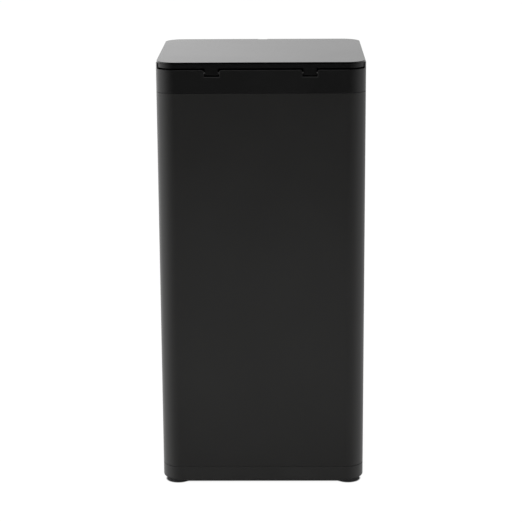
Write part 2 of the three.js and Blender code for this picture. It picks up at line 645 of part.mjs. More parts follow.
const casing = new THREE.Group();
place(casing, 'base_moulding', baseMoulding(), basePlastic);
place(casing, 'body_sleeve', bodySleeve(), sleevePaint);
place(casing, 'top_collar', topCollar(), mouldedBlack);
place(casing, 'inner_bucket', innerBucket(), bucketPlastic);
place(casing, 'bag_ring', bagRing(), ringPlastic);
place(casing, 'strike_plate', centredBox(
  STRIKE.half, STRIKE.front, STRIKE.front + STRIKE.thick, STRIKE.bottom, STRIKE.top), steel);
place(casing, 'hinge_pin_left', hingePin(), steel, -TAB.x, HINGE.y, HINGE.z);
place(casing, 'hinge_pin_right', hingePin(), steel, TAB.x, HINGE.y, HINGE.z);
placeSet(casing, 'foot', foot(), soft, footPoints(), 0);
placeSet(casing, 'foot_screw', screw(4.5, 18), steel, footPoints(), FOOT.pocketTop - GAP);
placeSet(casing, 'base_screw', screw(3.8, 10), steel, flangePoints(BASE_SCREW_INSET),
  BASE_TOP - BASE.deck - GAP);
placeSet(casing, 'collar_screw', screw(3.8, 8), steel, flangePoints(COLLAR_SCREW_INSET),
  COLLAR_BOTTOM - SLEEVE.sheet - 2 * GAP);

const lid = new THREE.Group();
place(lid, 'lid_top', lidTop(), lidGloss);
place(lid, 'lid_under', lidUnder(), lidBlack);
place(lid, 'lid_seal', lidSeal(), soft);
place(lid, 'carbon_filter', postZ(FILTER.pad, 0, 0, FILTER.padBottom, LID_DECK_BOTTOM - GAP, 24), carbon,
  FILTER.x, FILTER.y);
place(lid, 'filter_cap', filterCap(), bucketPlastic, FILTER.x, FILTER.y);
place(lid, 'stow_bolt', stowBolt(), nylon);
place(lid, 'catch_magnet', centredBox(
  MAGNET.half, MAGNET.front, MAGNET.front + MAGNET.thick, MAGNET.bottom, MAGNET.top), blackSteel);
placeSet(lid, 'lid_screw', screw(6.5, 4.5), steel, LID_SCREWS, LID_DECK_BOTTOM - GAP);
for (const [side, hand] of [[-1, 'left'], [1, 'right']]) {
  place(lid, `slide_rail_${hand}`, slideRail(side), nylon);
  place(lid, `rod_clip_${hand}`, rodClip(), steel, side * PIVOT.clipX, PIVOT.y, PIVOT.z);
  placeSet(lid, `rail_screw_${hand}`, screw(3.2, 5.8), steel, railScrewPoints(side),
    LID_DECK_BOTTOM - RAIL.flangeThick - 2 * GAP);
}
place(lid, 'pivot_rod', pivotRod(), steel);

const ram = new THREE.Group();
place(ram, 'compaction_plate', compactionPlate(), platePlastic);
place(ram, 'plate_wiper', plateWiper(), soft);
place(ram, 'brace_frame', braceFrame(), steel);
place(ram, 'brace_glide_left', braceGlide(), nylon, -BRACE.glideX, BRACE_HEAD_Y, PIVOT.z);
place(ram, 'brace_glide_right', braceGlide(), nylon, BRACE.glideX, BRACE_HEAD_Y, PIVOT.z);

lid.add(ram);
compactor.add(casing, lid);

export default compactor;
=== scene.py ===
import json
import math

import bmesh
import bpy
from mathutils import Matrix, Quaternion, Vector


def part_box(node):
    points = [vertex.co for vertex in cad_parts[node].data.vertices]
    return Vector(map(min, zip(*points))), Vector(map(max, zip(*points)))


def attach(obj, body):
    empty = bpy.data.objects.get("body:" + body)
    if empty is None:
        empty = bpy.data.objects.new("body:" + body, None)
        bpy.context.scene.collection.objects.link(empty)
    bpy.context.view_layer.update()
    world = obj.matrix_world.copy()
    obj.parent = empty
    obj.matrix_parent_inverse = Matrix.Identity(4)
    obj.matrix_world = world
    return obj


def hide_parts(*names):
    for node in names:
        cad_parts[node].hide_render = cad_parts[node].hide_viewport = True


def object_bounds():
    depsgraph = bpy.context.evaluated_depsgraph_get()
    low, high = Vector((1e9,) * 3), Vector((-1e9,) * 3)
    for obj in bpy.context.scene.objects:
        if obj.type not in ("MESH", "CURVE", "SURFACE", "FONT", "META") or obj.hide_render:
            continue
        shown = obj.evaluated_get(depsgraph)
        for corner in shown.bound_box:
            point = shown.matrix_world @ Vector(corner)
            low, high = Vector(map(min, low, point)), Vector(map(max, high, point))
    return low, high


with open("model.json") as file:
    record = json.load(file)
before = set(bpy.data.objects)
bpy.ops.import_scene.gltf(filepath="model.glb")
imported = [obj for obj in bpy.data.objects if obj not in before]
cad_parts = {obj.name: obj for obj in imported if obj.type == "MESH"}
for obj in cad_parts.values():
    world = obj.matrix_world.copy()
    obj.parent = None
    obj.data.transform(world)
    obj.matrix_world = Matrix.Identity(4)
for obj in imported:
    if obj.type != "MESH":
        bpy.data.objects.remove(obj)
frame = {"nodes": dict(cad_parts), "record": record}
CAD_LOW, CAD_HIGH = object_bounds()
MM = 0.001

# ------------------------------------------------------------------ sizes in millimetres, from the frame

WIDTH, DEPTH, HEIGHT = (CAD_HIGH - CAD_LOW) / MM
HALF_X, HALF_Y = WIDTH / 2, DEPTH / 2
CORNER = 32  # radius of the upright corners
ARC_SIDES = 24  # sides to a quarter circle on the shells
SHEET, FLANGE = 1.2, 9.6  # sleeve steel, and how far it is turned in at the top
WALL = 3  # collar and base


def low(node):
    return Vector(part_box(node)[0]) / MM


def high(node):
    return Vector(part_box(node)[1]) / MM


def middle(node):
    return (low(node) + high(node)) / 2


def joint_place(name):
    rows = frame["record"]["behaviour"]["joints"]
    return Vector(next(row["pos_m"] for row in rows if row["name"] == name)) / MM


HINGE = joint_place("lid_hinge")
SLOTS = {part["node"]: part["material_slot"] for part in frame["record"]["subparts"]}
NODE_BODY = {node: body for body, nodes in frame["record"]["behaviour"]["bodies"].items() for node in nodes}
REPLACED = set()  # CAD nodes that a piece built here stands for


# ------------------------------------------------------------------ mesh tools

def angles(sides, start=0.0, end=math.pi / 2):
    """The angles from start to end in equal steps, both ends included."""
    return [start + (end - start) * step / sides for step in range(sides + 1)]


def filleted(corners, sides=5):
    """The outline through [across, up, radius] corners, each rounded; a chain starts and ends on radius 0."""
    outline = []
    count = len(corners)
    for i, (x, y, radius) in enumerate(corners):
        here = Vector((x, y))
        if radius <= 0:
            outline.append(here)
            continue
        back = (Vector(corners[i - 1][:2]) - here).normalized()
        ahead = (Vector(corners[(i + 1) % count][:2]) - here).normalized()
        half_angle = back.angle(ahead) / 2
        run = radius / math.tan(half_angle)
        centre = here + (back + ahead).normalized() * (radius / math.sin(half_angle))
        start, end = here + back * run - centre, here + ahead * run - centre
        sweep = start.angle_signed(end)
        for step in range(sides + 1):
            turn = -sweep * step / sides
            cos, sin = math.cos(turn), math.sin(turn)
            outline.append(centre + Vector((start.x * cos - start.y * sin, start.x * sin + start.y * cos)))
    return outline


def rounded_plan(inset, bounds=None, corner=CORNER, sides=ARC_SIDES):
    """A rounded rectangle, moved inwards by inset. bounds are its x and y limits, the bin's own if left out."""
    x0, x1, y0, y1 = bounds or (-HALF_X, HALF_X, -HALF_Y, HALF_Y)
    radius = max(corner - inset, 2)
    loop = []
    for quarter in range(4):
        cx = x1 - inset - radius if quarter in (0, 3) else x0 + inset + radius
        cy = y1 - inset - radius if quarter in (0, 1) else y0 + inset + radius
        for step in range(sides + 1):
            angle = math.pi / 2 * (quarter + step / sides)
            loop.append((cx + radius * math.cos(angle), cy + radius * math.sin(angle)))
    return loop


def piece_from(name, mesh):
    bmesh.ops.recalc_face_normals(mesh, faces=mesh.faces)
    for face in mesh.faces:
        face.smooth = True
    data = bpy.data.meshes.new(name)
    mesh.to_mesh(data)
    mesh.free()
    piece = bpy.data.objects.new(name, data)
    bpy.context.scene.collection.objects.link(piece)
    return piece


def lofted(name, rings, closed):
    """Faces between rings of points in millimetres; closed joins last to first, else both ends are capped."""
    mesh = bmesh.new()
    made = [[mesh.verts.new(Vector(point) * MM) for point in ring] for ring in rings]
    pairs = list(zip(made, made[1:] + made[:1])) if closed else list(zip(made, made[1:]))
    for ring, after in pairs:
        for j in range(len(ring)):
            k = (j + 1) % len(ring)
            mesh.faces.new((ring[j], ring[k], after[k], after[j]))
    if not closed:
        mesh.faces.new(made[0])
        mesh.faces.new(made[-1])
    return piece_from(name, mesh)


def swept(name, outline, closed=True, bounds=None, corner=CORNER, bend=None):
    """The outline, [inset, height], carried round a rounded plan; bend moves each finished point."""
    rings = []
    for inset, z in outline:
        ring = [(x, y, z) for x, y in rounded_plan(inset, bounds, corner)]
        rings.append([bend(*point) for point in ring] if bend else ring)
    return lofted(name, rings, closed)


def wire(name, path, radius, z, sides=24):
    """A rod bent along an [x, y] path at one height, with rounded ends."""
    points = [Vector(point) for point in path]
    ends = [(points[0] - points[1]).normalized(), (points[-1] - points[-2]).normalized()]
    sections = [(points[0], -ends[0], radius)]
    for i in range(1, len(points) - 1):
        tangent = (points[i] - points[i - 1]).normalized() + (points[i + 1] - points[i]).normalized()
        sections.append((points[i], tangent.normalized(), radius))
    sections.append((points[-1], ends[1], radius))
    tip = 0.5
    for step in (1, 2, 3):
        turn = math.pi / 2 * step / 3.4
        out, thin = tip * math.sin(turn), radius - tip * (1 - math.cos(turn))
        sections.insert(0, (points[0] + ends[0] * out, -ends[0], thin))
        sections.append((points[-1] + ends[1] * out, ends[1], thin))
    around = angles(sides, 0, 2 * math.pi)[:-1]
    rings = []
    for centre, tangent, r in sections:
        side = Vector((-tangent.y, tangent.x))
        rings.append([(*(centre + side * r * math.cos(a)), z + r * math.sin(a)) for a in around])
    return lofted(name, rings, False)


def turned(name, profile, x, y, sides=64):
    """A closed [radius, height] profile turned about an upright axis."""
    around = angles(sides, 0, 2 * math.pi)[:-1]
    rings = [[(x + r * math.cos(a), y + r * math.sin(a), z) for a in around] for r, z in profile]
    return lofted(name, rings, True)


class Tool:
    """Blocks and rods in one mesh, for joining to a piece or cutting it."""

    def __init__(self):
        self.mesh = bmesh.new()

    def bar(self, x0, outline, x1):
        """A [y, z] outline run along X."""
        first, last = ([self.mesh.verts.new(Vector((x, y, z)) * MM) for y, z in outline] for x in (x0, x1))
        self.mesh.faces.new(first)
        self.mesh.faces.new(last[::-1])
        for i in range(len(outline)):
            k = (i + 1) % len(outline)
            self.mesh.faces.new((first[i], last[i], last[k], first[k]))
        return self

    def block(self, x0, x1, y0, y1, z0, z1):
        size = Matrix.Diagonal((*(Vector((x1 - x0, y1 - y0, z1 - z0)) * MM), 1))
        place = Matrix.Translation(Vector((x0 + x1, y0 + y1, z0 + z1)) * MM / 2)
        bmesh.ops.create_cube(self.mesh, size=1, matrix=place @ size)
        return self

    def rod(self, axis, radius, centre, length, sides=40):
        turn = Vector((0, 0, 1)).rotation_difference(axis).to_matrix().to_4x4()
        place = Matrix.Translation(Vector(centre) * MM)
        bmesh.ops.create_cone(self.mesh, cap_ends=True, segments=sides, radius1=radius * MM,
                              radius2=radius * MM, depth=length * MM, matrix=place @ turn)
        return self

    def prism(self, y0, outline, y1, last=None):
        """An [x, z] outline run along Y, changing to the last outline on the way if one is given."""
        front = [self.mesh.verts.new(Vector((x, y0, z)) * MM) for x, z in outline]
        back = [self.mesh.verts.new(Vector((x, y1, z)) * MM) for x, z in last or outline]
        self.mesh.faces.new(front)
        self.mesh.faces.new(back[::-1])
        for i in range(len(outline)):
            k = (i + 1) % len(outline)
            self.mesh.faces.new((front[i], back[i], back[k], front[k]))
        return self


X_AXIS, Z_AXIS = Vector((1, 0, 0)), Vector((0, 0, 1))


def shaped(piece, tool, operation="DIFFERENCE"):
    """Cuts the tool from the piece, or joins it on, and keeps the result as the piece's mesh."""
    other = piece_from("tool", tool.mesh)
    step = piece.modifiers.new("step", "BOOLEAN")
    step.operation = operation
    step.solver = "EXACT"
    step.use_self = operation == "UNION"
    step.object = other
    graph = bpy.context.evaluated_depsgraph_get()
    made = bpy.data.meshes.new_from_object(piece.evaluated_get(graph))
    piece.modifiers.clear()
    old, piece.data = piece.data, made
    bpy.data.meshes.remove(old)
    bpy.data.objects.remove(other)
    return piece


def smooth_by_angle():
    """Geometry nodes that shade smooth, with edges over 32 degrees kept sharp."""
    tree = bpy.data.node_groups.new("smooth_by_angle", "GeometryNodeTree")
    tree.interface.new_socket("Geometry", in_out="INPUT", socket_type="NodeSocketGeometry")
    tree.interface.new_socket("Geometry", in_out="OUTPUT", socket_type="NodeSocketGeometry")
    entry = tree.nodes.new("NodeGroupInput")
    leave = tree.nodes.new("NodeGroupOutput")
    faces = tree.nodes.new("GeometryNodeSetShadeSmooth")
    faces.domain = "FACE"
    edges = tree.nodes.new("GeometryNodeSetShadeSmooth")
    edges.domain = "EDGE"
    edges.inputs["Shade Smooth"].default_value = False
    angle = tree.nodes.new("GeometryNodeInputMeshEdgeAngle")
    sharp = tree.nodes.new("FunctionNodeCompare")
    sharp.operation = "GREATER_THAN"
    sharp.inputs[1].default_value = math.radians(32)
    link = tree.links.new
    link(entry.outputs[0], faces.inputs["Geometry"])
    link(faces.outputs[0], edges.inputs["Geometry"])
    link(angle.outputs["Unsigned Angle"], sharp.inputs[0])
    link(sharp.outputs[0], edges.inputs["Selection"])
    link(edges.outputs[0], leave.inputs[0])
    return tree


SMOOTHING = smooth_by_angle()


def even_normals(obj):
    """Keeps wide flat faces flat in shading, beside narrow rounded ones."""
    normals = obj.modifiers.new("normals", "WEIGHTED_NORMAL")
    normals.keep_sharp = True


def soften(obj, width, segments=3):
    """Rounds the sharp edges of a CAD node or cut piece with modifiers alone; width in millimetres."""
    weld = obj.modifiers.new("weld", "WELD")
    weld.merge_threshold = 1e-6
    flat = obj.modifiers.new("flat", "DECIMATE")
    flat.decimate_type = "DISSOLVE"
    flat.angle_limit = math.radians(0.3)
    bevel = obj.modifiers.new("bevel", "BEVEL")
    bevel.width = width * MM
    bevel.segments = segments
    bevel.limit_method = "ANGLE"
    bevel.angle_limit = math.radians(35)
    bevel.use_clamp_overlap = True
    bevel.miter_outer = "MITER_ARC"
    smooth = obj.modifiers.new("smooth", "NODES")
    smooth.node_group = SMOOTHING
    even_normals(obj)


# ------------------------------------------------------------------ materials

class Finish:
    """A Principled material whose colour, gloss and relief come from procedural texture in object space."""

    def __init__(self, name, colour, specular=0.5, metallic=0.0, coat=0.0, coat_roughness=0.1, sheen=0.0):
        self.material = bpy.data.materials.new(name)
        self.material.use_nodes = True
        self.tree = self.material.node_tree
        self.shader = self.tree.nodes["Principled BSDF"]
        self.place = self.node("ShaderNodeTexCoord").outputs["Object"]
        self.colour, self.roughness, self.height = self.constant(colour), None, None
        for socket, value in (("Specular IOR Level", specular), ("Metallic", metallic), ("Coat Weight", coat),
                              ("Coat Roughness", coat_roughness), ("Sheen Weight", sheen)):
            self.shader.inputs[socket].default_value = value

    def node(self, kind):
        return self.tree.nodes.new(kind)

    def constant(self, colour):
        return (*colour, 1)

    def feed(self, value, socket):
        if isinstance(value, bpy.types.NodeSocket):
            self.tree.links.new(value, socket)
        else:
            socket.default_value = value

    def noise(self, scale, detail=3.0, stretch=None, roughness=0.5):
        """Noise from 0 to 1; scale is in features per metre."""
        node = self.node("ShaderNodeTexNoise")
        for socket, value in (("Scale", scale), ("Detail", detail), ("Roughness", roughness)):
            node.inputs[socket].default_value = value
        place = self.place
        if stretch:
            mapping = self.node("ShaderNodeMapping")
            mapping.inputs["Scale"].default_value = stretch
            self.feed(place, mapping.inputs["Vector"])
            place = mapping.outputs["Vector"]
        self.feed(place, node.inputs["Vector"])
        return node.outputs["Fac"]

    def cells(self, scale):
        node = self.node("ShaderNodeTexVoronoi")
        node.inputs["Scale"].default_value = scale
        self.feed(self.place, node.inputs["Vector"])
        return node.outputs["Distance"]

    def ramp(self, value, start, end, low_value, high_value):
        node = self.node("ShaderNodeMapRange")
        for socket, number in (("From Min", start), ("From Max", end), ("To Min", low_value),
                               ("To Max", high_value)):
            node.inputs[socket].default_value = number
        self.feed(value, node.inputs["Value"])
        return node.outputs["Result"]

    def sum(self, a, b, share=1.0):
        node = self.node("ShaderNodeMath")
        node.operation = "MULTIPLY_ADD"
        self.feed(b, node.inputs[0])
        self.feed(share, node.inputs[1])
        self.feed(a, node.inputs[2])
        return node.outputs[0]

    def mixed(self, factor, a, b):
        node = self.node("ShaderNodeMix")
        node.data_type = "RGBA"
        self.feed(a, node.inputs["A"])
        self.feed(b, node.inputs["B"])
        self.feed(factor, node.inputs["Factor"])
        return node.outputs["Result"]

    def clouded(self, amount, low_gloss, high_gloss, scale=14.0):
        """Soft, broad change of colour and gloss."""
        clouds = self.ramp(self.noise(scale, 5.0), 0.3, 0.7, 0, 1)
        dark = [channel * (1 - amount) for channel in self.colour[:3]]
        light = [channel * (1 + amount) for channel in self.colour[:3]]
        self.colour = self.mixed(clouds, self.constant(dark), self.constant(light))
        self.roughness = self.ramp(clouds, 0, 1, low_gloss, high_gloss)
        return self

    def grained(self, scale, share=1.0, stretch=None, detail=2.0):
        """Adds relief; share is its part of the bump distance."""
        grain = self.noise(scale, detail, stretch)
        self.height = self.sum(self.height, grain, share) if self.height else self.ramp(grain, 0, 1, 0, share)
        return self

    def scuffed(self, tone, amount, scale, stretch, threshold=0.62):
        """Hair scratches and rubbed streaks, paler and rougher than the rest."""
        marks = self.ramp(self.noise(scale, 6.0, stretch, 0.7), threshold, threshold + 0.12, 0, amount)
        self.colour = self.mixed(marks, self.colour, self.constant(tone))
        self.roughness = self.sum(self.roughness, marks, 0.25)
        return self

    def dusted(self, tone, amount, scale):
        """Fine specks that catch the light."""
        specks = self.ramp(self.cells(scale), 0.09, 0.03, 0, amount)
        self.colour = self.mixed(specks, self.colour, self.constant(tone))
        return self

    def done(self, strength, distance=0.1):
        relief = self.node("ShaderNodeBump")
        relief.inputs["Distance"].default_value = distance * MM
        relief.inputs["Strength"].default_value = strength
        self.feed(self.height, relief.inputs["Height"])
        self.feed(relief.outputs["Normal"], self.shader.inputs["Normal"])
        self.feed(self.colour, self.shader.inputs["Base Color"])
        self.feed(self.roughness, self.shader.inputs["Roughness"])
        return self.material


def sleeve_paint():
    """Satin powder coat, with the fine orange peel that it dries to."""
    paint = Finish("sleeve_paint", (0.0140, 0.0138, 0.0134), specular=0.42)
    return paint.clouded(0.035, 0.35, 0.39, 9).grained(1500, 0.5).grained(420, 0.5).done(0.16)


def moulded(name, colour, specular, gloss, grain=1900, strength=0.14):
    """Spark-eroded mould texture on dark plastic."""
    plastic = Finish(name, colour, specular=specular)
    return plastic.clouded(0.05, *gloss, 18).grained(grain, 0.7).grained(grain / 4, 0.3).done(strength)


def lid_gloss():
    """Smooth gloss sheet with faint hair scratches from wiping."""
    sheet = Finish("lid_gloss", (0.0016, 0.0016, 0.0016), specular=0.54)
    sheet.clouded(0.05, 0.17, 0.19, 7).scuffed((0.02, 0.02, 0.02), 0.25, 900, (0.03, 1, 1), 0.66)
    return sheet.grained(300, 1.0).done(0.012)


def bucket_plastic():
    """Grey polypropylene, with drag marks up the mould and rubbing from use."""
    plastic = Finish("bucket_plastic", (0.06, 0.061, 0.064), specular=0.4)
    plastic.clouded(0.09, 0.44, 0.54, 10).scuffed((0.12, 0.12, 0.125), 0.5, 160, (1, 1, 0.08))
    return plastic.grained(1100, 0.6).grained(500, 0.4, (1, 1, 0.1)).done(0.25)


def plate_plastic():
    """The compaction plate: dark nylon-filled plastic, scuffed across its face."""
    plastic = Finish("plate_plastic", (0.036, 0.037, 0.04), specular=0.4)
    plastic.clouded(0.07, 0.38, 0.48, 12).scuffed((0.1, 0.1, 0.105), 0.5, 130, (1, 0.12, 1))
    return plastic.grained(1300, 0.7).grained(300, 0.3).done(0.22)


def ring_plastic():
    plastic = Finish("ring_plastic", (0.022, 0.022, 0.024), specular=0.4)
    plastic.clouded(0.06, 0.4, 0.48, 15).scuffed((0.06, 0.06, 0.065), 0.3, 220, (0.15, 0.15, 1))
    return plastic.grained(1500).done(0.18)


def nylon():
    """Undyed nylon: warm, faintly translucent in tone, with flow lines."""
    plastic = Finish("nylon", (0.6, 0.575, 0.51), specular=0.45)
    plastic.clouded(0.05, 0.34, 0.42, 40).scuffed((0.45, 0.43, 0.38), 0.4, 260, (1, 0.1, 1), 0.6)
    return plastic.grained(900, 0.6).grained(200, 0.4, (1, 0.2, 1)).done(0.12)


def soft_rubber():
    rubber = Finish("soft_rubber", (0.013, 0.013, 0.0135), specular=0.25, sheen=0.06)
    return rubber.clouded(0.12, 0.7, 0.82, 25).dusted((0.06, 0.06, 0.058), 0.35, 600).grained(2200).done(0.4)


def steel():
    """Zinc-plated steel, drawn along X, with the mottled sheen of the plating."""
    metal = Finish("steel", (0.5, 0.5, 0.49), metallic=1.0)
    metal.clouded(0.1, 0.22, 0.36, 120).scuffed((0.3, 0.29, 0.27), 0.5, 700, (0.05, 1, 1), 0.6)
    return metal.grained(2200, 1.0, (0.04, 1, 1)).done(0.2)


def black_steel():
    metal = Finish("black_steel", (0.035, 0.035, 0.038), metallic=0.7)
    return metal.clouded(0.12, 0.34, 0.46, 60).grained(1600, 1.0).done(0.2)


def carbon_foam():
    """Open-cell filter foam: pale cell walls, with painted shade darkening the pits between them."""
    foam = Finish("carbon_foam", (0.009, 0.009, 0.009), specular=0.1)
    foam.clouded(0.3, 0.88, 0.96, 300)
    # The pits get the dark tone and the walls the pale one: painted shade in the cell hollows.
    foam.colour = foam.mixed(foam.ramp(foam.cells(520), 0.25, 0.6, 0, 0.6), foam.colour, (0.04, 0.04, 0.04, 1))
    foam.height = foam.ramp(foam.cells(520), 0, 0.7, 0, 1)
    return foam.done(1.0, 0.6)


MATERIALS = {
    "sleeve_paint": sleeve_paint(),
    "moulded_black": moulded("moulded_black", (0.0073, 0.0073, 0.0073), 0.4, (0.3, 0.35)),
    "lid_black": moulded("lid_black", (0.0046, 0.0046, 0.0046), 0.36, (0.3, 0.36)),
    "base_plastic": moulded("base_plastic", (0.0152, 0.0151, 0.0147), 0.4, (0.36, 0.41), 1700, 0.18),
    "lid_gloss": lid_gloss(),
    "bucket_plastic": bucket_plastic(),
    "ring_plastic": ring_plastic(),
    "plate_plastic": plate_plastic(),
    "nylon": nylon(),
    "soft_rubber": soft_rubber(),
    "steel": steel(),
    "black_steel": black_steel(),
    "carbon_foam": carbon_foam(),
}


def stand_for(piece, node):
    """The piece takes the node's place, body and finish."""
    piece.data.materials.clear()
    piece.data.materials.append(MATERIALS[SLOTS[node]])
    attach(piece, NODE_BODY[node])
    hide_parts(node)
    REPLACED.add(node)


# ------------------------------------------------------------------ casing

TAB_X, TAB_NOTCH, NOTCH_BOTTOM, NOTCH_FLARE = 78, 12.2, 686.8, 3
LUG, LUG_WIDTH, LUG_FOOT, HINGE_BORE = 6.5, 9, 684, 2.3
FLANGE_SCREW_X, COLLAR_SCREW_INSET, BASE_SCREW_INSET = 90, 6.2, 8
SCREW_HOLE, PILOT_HOLE = 2.3, 1.9
REAR_RIM = 697.8
RIM_CUT_FRONT, RIM_CUT_X = HALF_Y - 24, 165.4
RIM_ROUND, NOTCH_ROUND = 1.3, 0.8
BUCKET_RIM, GAP = 3, 0.3  # the bucket's rim, and the space between it and the ledge that it hangs on
MIDDLE = 60  # inset where a floor, deck or plate is closed by one flat face
PAST = 5  # how far a tool runs past what it cuts


def upright_holes(tool, radius, inset, z0, z1):
    for x in (-FLANGE_SCREW_X, FLANGE_SCREW_X):
        for y in (inset - HALF_Y, HALF_Y - inset):
            tool.rod(Z_AXIS, radius, (x, y, (z0 + z1) / 2), z1 - z0, 24)
    return tool


def body_sleeve():
    """A folded sheet, turned in at both ends."""
    bottom, top, lower_flange = low("body_sleeve").z, high("body_sleeve").z, 14
    outline = filleted([
        (0, bottom, 0.6), (0, top, 0.4), (FLANGE, top, 0.3), (FLANGE, top - SHEET, 0.3),
        (SHEET, top - SHEET, 0.8), (SHEET, bottom + SHEET, 0.8), (lower_flange, bottom + SHEET, 0.3),
        (lower_flange, bottom, 0.3)])
    skin = swept("sleeve_skin", outline)
    holes = upright_holes(Tool(), SCREW_HOLE, COLLAR_SCREW_INSET, top - PAST, top + PAST)
    shaped(skin, upright_holes(holes, PILOT_HOLE, BASE_SCREW_INSET, bottom - PAST, bottom + PAST))
    soften(skin, 0.15, 1)
    stand_for(skin, "body_sleeve")


def base_moulding():
    """A tray turned over, with crossed ribs under its deck and a boss over each foot."""
    bottom, top = low("base_moulding").z, high("base_moulding").z
    deck, rib_low, rib_half, rib_x, rib_y, boss = top - WALL, 17, 1.2, 80, 62, 15
    cross_in, along_in, boss_in = 1, 1.1, 1.2  # each goes a little farther into the deck, so no faces coincide
    outline = filleted([
        (MIDDLE, top, 0), (0, top, 0.8), (0, bottom, 2.4), (WALL, bottom, 0.4), (WALL, deck, 1.5),
        (MIDDLE, deck, 0)])
    shell = swept("base_shell", outline, closed=False)
    cross, along, bosses = Tool(), Tool(), Tool()
    for offset in (-1, 0, 1):
        x, y = offset * rib_x, offset * rib_y
        cross.block(cross_in - HALF_X, HALF_X - cross_in, y - rib_half, y + rib_half, rib_low, deck + cross_in)
        along.block(x - rib_half, x + rib_half, along_in - HALF_Y, HALF_Y - along_in, rib_low, deck + along_in)
    holes = upright_holes(Tool(), SCREW_HOLE, BASE_SCREW_INSET, bottom - 1, top + PAST)
    boss_top, screw_top = deck + boss_in, 24
    for i in range(1, 5):
        x, y, _ = middle(f"foot_{i}")
        bosses.rod(Z_AXIS, boss, (x, y, (bottom + boss_top) / 2), boss_top - bottom, 48)
        holes.rod(Z_AXIS, PILOT_HOLE, (x, y, screw_top / 2), screw_top, 24)
    for tool in (cross, along, bosses):
        shaped(shell, tool, "UNION")
    shaped(shell, holes)
    soften(shell, 0.5)
    stand_for(shell, "base_moulding")


def notch_outline(x, grow=0):
    """The slot for a hinge tab, flared into the rim with a radius."""
    half, mouth, rise = TAB_NOTCH + grow, TAB_NOTCH + grow + NOTCH_FLARE, REAR_RIM - NOTCH_FLARE
    right = [(mouth - NOTCH_FLARE * math.cos(a), rise + NOTCH_FLARE * math.sin(a)) for a in angles(8)]
    side = [(half, NOTCH_BOTTOM - grow), *right, (mouth, HEIGHT)]
    return [(x + across, up) for across, up in side + [(-across, up) for across, up in reversed(side)]]


def rim_round():
    """What is cut away outside the rounded edge of the rear rim."""
    start, inner, past = REAR_RIM - RIM_ROUND, HALF_Y - RIM_ROUND, 2
    edge = [(inner + RIM_ROUND * math.sin(a), start + RIM_ROUND * math.cos(a)) for a in angles(8)]
    return [*edge, (HALF_Y + past, start), (HALF_Y + past, REAR_RIM + past), (inner, REAR_RIM + past)]


def hinge_lugs():
    """A round lug each side of each tab, on a block that joins it to the rear wall."""
    lugs = Tool()
    for side in (-1, 1):
        for end in (-1, 1):
            x = side * TAB_X + end * (TAB_NOTCH + LUG_WIDTH / 2)
            lugs.rod(X_AXIS, LUG, (x, HINGE.y, HINGE.z), LUG_WIDTH)
            lugs.block(x - LUG_WIDTH / 2, x + LUG_WIDTH / 2, HINGE.y - LUG, HALF_Y - 1, LUG_FOOT, HINGE.z)
    return lugs


def top_collar():
    """The ring over the sleeve: a ledge for the bucket, a lowered rear rim and the hinge notches."""
    bottom, top = low("top_collar").z, high("top_collar").z
    ledge, ledge_top = 12, high("inner_bucket").z - BUCKET_RIM - GAP
    recess_half, recess_depth, recess_low, screw_top = 30, 3.5, 699, ledge_top - 1.2
    outline = filleted([
        (0, bottom, 0.5), (0, top, 1.0), (WALL, top, 0.8), (WALL, ledge_top, 1.0), (ledge, ledge_top, 0.5),
        (ledge, bottom, 0.4)])
    ring = swept("collar_ring", outline)
    shaped(ring, Tool().block(-RIM_CUT_X, RIM_CUT_X, RIM_CUT_FRONT, HALF_Y + PAST, REAR_RIM, HEIGHT))
    shaped(ring, hinge_lugs(), "UNION")
    shaped(ring, Tool().block(-HALF_X, HALF_X, HALF_Y, HALF_Y + PAST, bottom, HEIGHT))
    shaped(ring, Tool().block(-RIM_CUT_X, RIM_CUT_X, RIM_CUT_FRONT, HALF_Y + PAST, REAR_RIM, REAR_RIM + 1))
    round_x = RIM_CUT_X - 0.4
    shaped(ring, Tool().bar(-round_x, rim_round(), round_x))
    for x in (-TAB_X, TAB_X):
        shaped(ring, Tool().prism(RIM_CUT_FRONT, notch_outline(x), HALF_Y + PAST))
        shaped(ring, Tool().prism(HALF_Y - NOTCH_ROUND, notch_outline(x), HALF_Y + 0.01,
                                  notch_outline(x, NOTCH_ROUND)))
    bores = Tool()
    for x in (-TAB_X, TAB_X):
        bores.rod(X_AXIS, HINGE_BORE, (x, HINGE.y, HINGE.z), 2 * (TAB_NOTCH + LUG_WIDTH + 1))
    bores.block(-recess_half, recess_half, -HALF_Y - PAST, recess_depth - HALF_Y, recess_low, HEIGHT)
    shaped(ring, upright_holes(bores, PILOT_HOLE, COLLAR_SCREW_INSET, bottom - PAST, screw_top))
    soften(ring, 0.3)
    stand_for(ring, "top_collar")


def foot(node):
    """A turned rubber foot with two grip grooves under it."""
    x, y, _ = middle(node)
    top, outer = high(node).z, (high(node).x - low(node).x) / 2
    pocket, pocket_top, screw, groove = 6, 3.5, 2.3, 0.6
    profile = filleted([
        (pocket, 0, 0.4), (9, 0, 0), (9.5, groove, 0), (10.5, groove, 0), (11, 0, 0), (13.5, 0, 0),
        (14, groove, 0), (15, groove, 0), (15.5, 0, 0), (outer, 0, 1.2), (outer, top, 0.6), (screw, top, 0.3),
        (screw, pocket_top, 0.3), (pocket, pocket_top, 0.4)], 4)
    pad = turned(f"{node}_pad", profile, x, y)
    even_normals(pad)
    stand_for(pad, node)


# ------------------------------------------------------------------ bucket and bag ring

